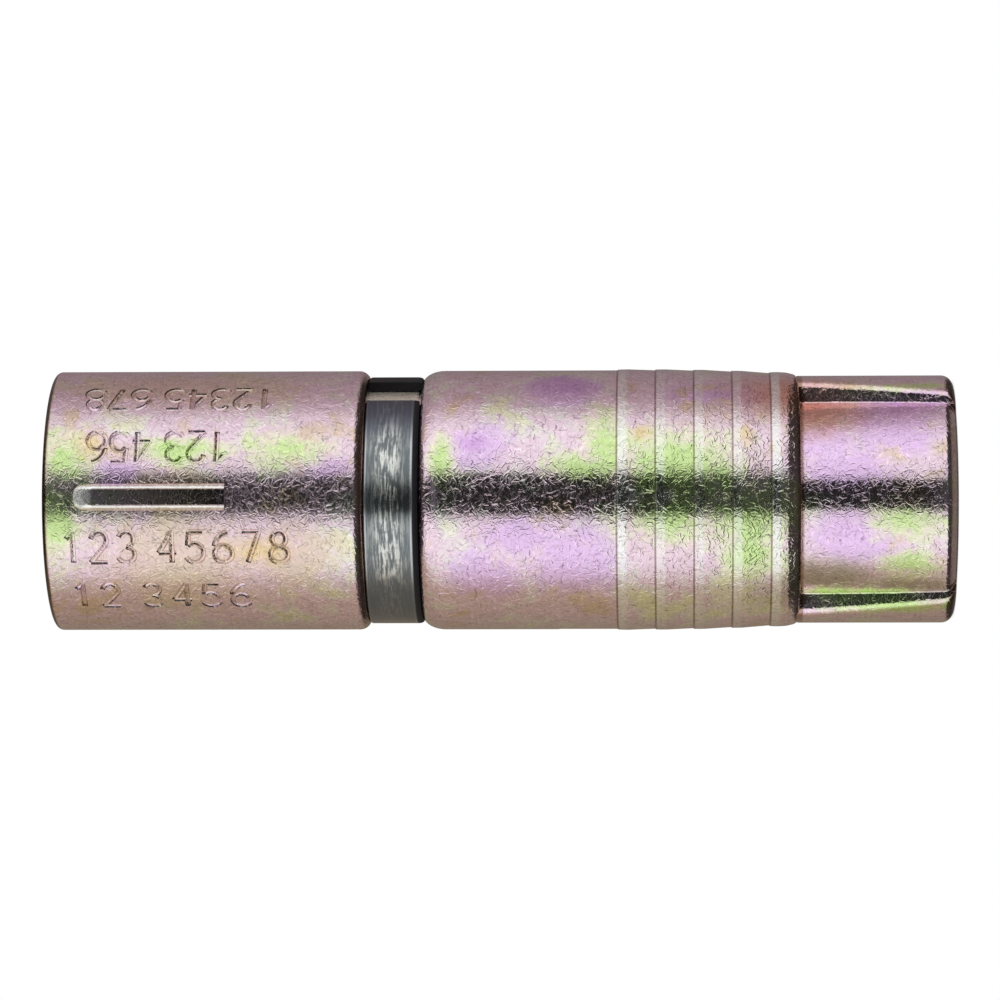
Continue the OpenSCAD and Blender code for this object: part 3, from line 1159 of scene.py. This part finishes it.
def plastic_with_painted_sheen():
    """Black plastic with grey scuffs and a painted sheen on its front. turned is the angle from the
    front.
    """
    material, start, output = new_material("black_plastic_scuffed_sheen")
    here = millimetres(start)
    x, y, z = here.split()
    turned = here.math("ARCTAN2", x, y * -1)
    streak = here.point(turned * streak_pull, z, 0.0).noise(0.16, 3.0, 0.62, 0.3)
    patch = here.noise(0.9, 3.0, 0.65, 0.8)
    # front is 1 where the ring faces the lens; it limits the painted sheen
    front = 1 - turned.rise(0.36, 0.70) - (turned * -1).rise(0.54, 0.88)
    off_middle = abs(z - ring_middle_z)
    middle = 1 - off_middle.rise(0.2, 1.15) * 0.8
    # Scuff streaks made pale only towards the front: partly real scuffs, partly painted sheen
    scuff_and_sheen = (streak * 0.76 + patch * 0.24).rise(0.44, 0.61) * (front * 0.88 + 0.12) * middle

    # Painted shade: the plastic is darker on the +X side than at the front and on the other side
    sides = turned.rise(-0.2, 0.2).mix((*slate_left, 1), (*slate_right, 1))
    ground = front.mix(sides, (*slate_front, 1))
    colour = scuff_and_sheen.mix(ground, (*scuff_sheen_grey, 1))
    # Painted highlight: thin pale lines along both edges of the ring's front
    edge = off_middle.rise(ring_half_w - 0.17, ring_half_w - 0.12)
    colour = (edge * 0.6 * (front * 0.8 + 0.1)).mix(colour, (*edge_highlight_grey, 1))
    clean = here.math("MAXIMUM", (ring_low_z - z).rise(-0.06, 0.02), turned.rise(0.95, 1.05))
    colour = clean.mix(colour, (*clean_black, 1))
    bump = start.add("ShaderNodeBump", None, {
        "Strength": 1.0, "Distance": 0.008 * MM, "Height": streak + patch * 0.5,
    })
    shader = start.add("ShaderNodeBsdfPrincipled", None, {
        "Base Color": colour, "Metallic": 0.9 - clean * 0.9,
        "Roughness": 0.21 + scuff_and_sheen * 0.08 + clean * 0.45, "Normal": bump,
    })
    start.tree.links.new(shader.socket, output.inputs["Surface"])
    return material


black_plastic = plastic_with_painted_sheen()
finish_piece(cone_nut, "cone_nut", zinc_on_nut)
finish_piece(expansion_sleeve, "expansion_sleeve", zinc_on_sleeves)
finish_piece(compression_ring, "compression_ring", black_plastic)
finish_piece(spacer_sleeve, "spacer_sleeve", zinc_on_sleeves)

# %% [markdown]
# A shiny tube shows its studio more than itself. The anchor was photographed between two broad
# white screens with the dark lens in the gap, and that gap is the dark band along its middle. Two
# flat screens would do, but a tent is easier to shape: a round wall of paper 300 mm from the
# anchor, whose glow is a function of the angle from the lens. It is dark at the lens, brightest 30
# to 50 degrees beside it, and dimmer and warmer behind. The gap leans a little from top to bottom.
# Some way above the anchor, and from its foot down, the paper has a dim glow even in the gap, and
# farther away it is dark. The camera doesn't see the tent, so the white world is the background.

# %% Light tent round the anchor
tent_r = 300
tent_low = -900
tent_high = 1400
glow_stops = [
    (0.0, 0.02), (0.086, 0.025), (0.112, 0.72), (0.16, 0.98), (0.29, 1.05), (0.39, 0.87),
    (0.46, 0.59), (0.55, 0.44), (0.65, 0.39), (0.83, 0.30), (1.0, 0.25),
]
gap_offset = 3.2
white = (1, 1, 1)
cool_white = (0.94, 1.0, 0.88)
warm_left = (1, 0.83, 0.61)
warm_right = (0.92, 0.755, 0.76)
dim_glow = (0.11, 0.12, 0.125)
dark_room = (0.05, 0.045, 0.04)


def blend(kind, share, first, second):
    """Two colours blended in one of the Mix node's ways."""
    settings = {"data_type": "RGBA", "blend_type": kind}
    return first.add("ShaderNodeMix", settings, {0: share, 6: first, 7: second}, out=2)


def tent_paper():
    """Paper whose glow depends on its angle from the lens and on its height."""
    material, start, output = new_material("tent_paper")
    x, y, z = millimetres(start).split()
    gap_middle = (z.rise(15, 40) * 1.3 - z.rise(-8, 2) * 0.9 + gap_offset) * math.radians(1)
    from_lens = abs(x.math("ARCTAN2", x, y * -1) - gap_middle) / math.pi
    stops = [(share, (glow, glow, glow)) for share, glow in glow_stops]
    screens = from_lens.add("ShaderNodeValToRGB", {"stops": stops}, {0: from_lens})
    room = x.rise(-60, 60).mix((*warm_left, 1), (*warm_right, 1))
    tint = from_lens.rise(0.33, 0.56).mix((*white, 1), room)
    tint = from_lens.rise(0.09, 0.117).mix((*cool_white, 1), tint)
    screens = blend("MULTIPLY", 1.0, screens, tint)
    dim = z.rise(72, 130) * (1 - z.rise(205, 245)) + (1 - z.rise(-20, 12)) * 0.5
    screens = blend("LIGHTEN", dim, screens, (*dim_glow, 1))
    in_reach = z.rise(-75, -45) * (1 - z.rise(520, 640))
    glow = in_reach.mix((*dark_room, 1), screens)
    light = start.add("ShaderNodeEmission", None, {"Color": glow, "Strength": 1.0})
    start.tree.links.new(light.socket, output.inputs["Surface"])
    return material


bpy.ops.mesh.primitive_cylinder_add(
    vertices=96, radius=tent_r * MM, depth=(tent_high - tent_low) * MM,
    location=(0, 0, (tent_high + tent_low) / 2 * MM),
)
tent = bpy.context.object
tent.name = "light_tent"
bpy.ops.object.transform_apply(location=True, rotation=True, scale=True)
tent.data.materials.append(tent_paper())
tent.visible_camera = False
print(f"tent of radius {tent_r} mm, from {tent_low} to {tent_high} mm")

# %% [markdown]
# The anchor stands on a small round of white card. A hard edge would show in the picture and in the
# steel, so the card fades away towards its rim. What the camera and the metal see of it is white,
# darkened where the anchor keeps light away, which is the soft shadow at its foot.

# %% Floor and background
card_r = 7.6
card_solid_r = 6.3
card_clear_r = 7.4
shadow_reach = 4


def white_card():
    """Card that looks white to the camera and in reflections, and fades out at its rim."""
    material, start, output = new_material("white_card")
    x, y, z = millimetres(start).split()
    radius = (x * x + y * y) ** 0.5
    open_sky = start.add(
        "ShaderNodeAmbientOcclusion", {"samples": 8}, {"Distance": shadow_reach * MM}, out=1
    )
    rays = start.add("ShaderNodeLightPath").socket.node.outputs
    kinds = ("Is Camera Ray", "Is Glossy Ray", "Is Transmission Ray")
    seen = fold("MAXIMUM", [Wire(start.tree, rays[kind]) for kind in kinds])
    glow = start.add("ShaderNodeEmission", None, {"Color": open_sky**0.6, "Strength": 1.0})
    paper = start.add("ShaderNodeBsdfDiffuse", None, {"Color": (0.8, 0.8, 0.8, 1)})
    card = start.add("ShaderNodeMixShader", None, {0: seen, 1: paper, 2: glow})
    clear = start.add("ShaderNodeBsdfTransparent")
    fade = radius.rise(card_solid_r, card_clear_r)
    faded = start.add("ShaderNodeMixShader", None, {0: fade, 1: card, 2: clear})
    start.tree.links.new(faded.socket, output.inputs["Surface"])
    return material


bpy.ops.mesh.primitive_circle_add(vertices=96, radius=card_r * MM, fill_type="NGON")
floor = bpy.context.object
floor.name = "floor_card"
floor.data.materials.append(white_card())

scene = bpy.context.scene
if scene.world is None:
    scene.world = bpy.data.worlds.new("white_room")
scene.world.use_nodes = True
background = scene.world.node_tree.nodes["Background"]
background.inputs["Color"].default_value = (1, 1, 1, 1)
background.inputs["Strength"].default_value = 1.0
scene.view_settings.view_transform = "Standard"
print(f"card of radius {card_r} mm on a white ground")

# %% [markdown]
# The camera stands level with the lower third of the anchor, 279 mm from its axis and a degree and
# a half round it, with a long lens. The picture shows the anchor lying along it, mouth to the left,
# so the camera is turned a quarter turn about its own line of sight. Aiming it by two angles would
# work too, but a track quaternion points it at a height on the axis directly.

# %% Camera
camera_far = 279
camera_round = math.radians(-1.6)
camera_z = 16.49
aim_z = 27.38
lens_mm = 165.5
quarter_turn = math.radians(-90.14)
standing = Vector((
    camera_far * math.sin(camera_round),
    -camera_far * math.cos(camera_round),
    camera_z,
))
bpy.ops.object.camera_add(location=standing * MM)
camera = bpy.context.object
sight = Vector((0, 0, aim_z)) - standing
camera.rotation_mode = "QUATERNION"
camera.rotation_quaternion = sight.to_track_quat("-Z", "Y") @ Quaternion((0, 0, 1), quarter_turn)
camera.data.lens = lens_mm
camera.data.sensor_width = 36
camera.data.clip_start = 0.01
camera.data.clip_end = 10
scene.camera = camera
print("camera", tuple(round(c, 4) for c in camera.location))
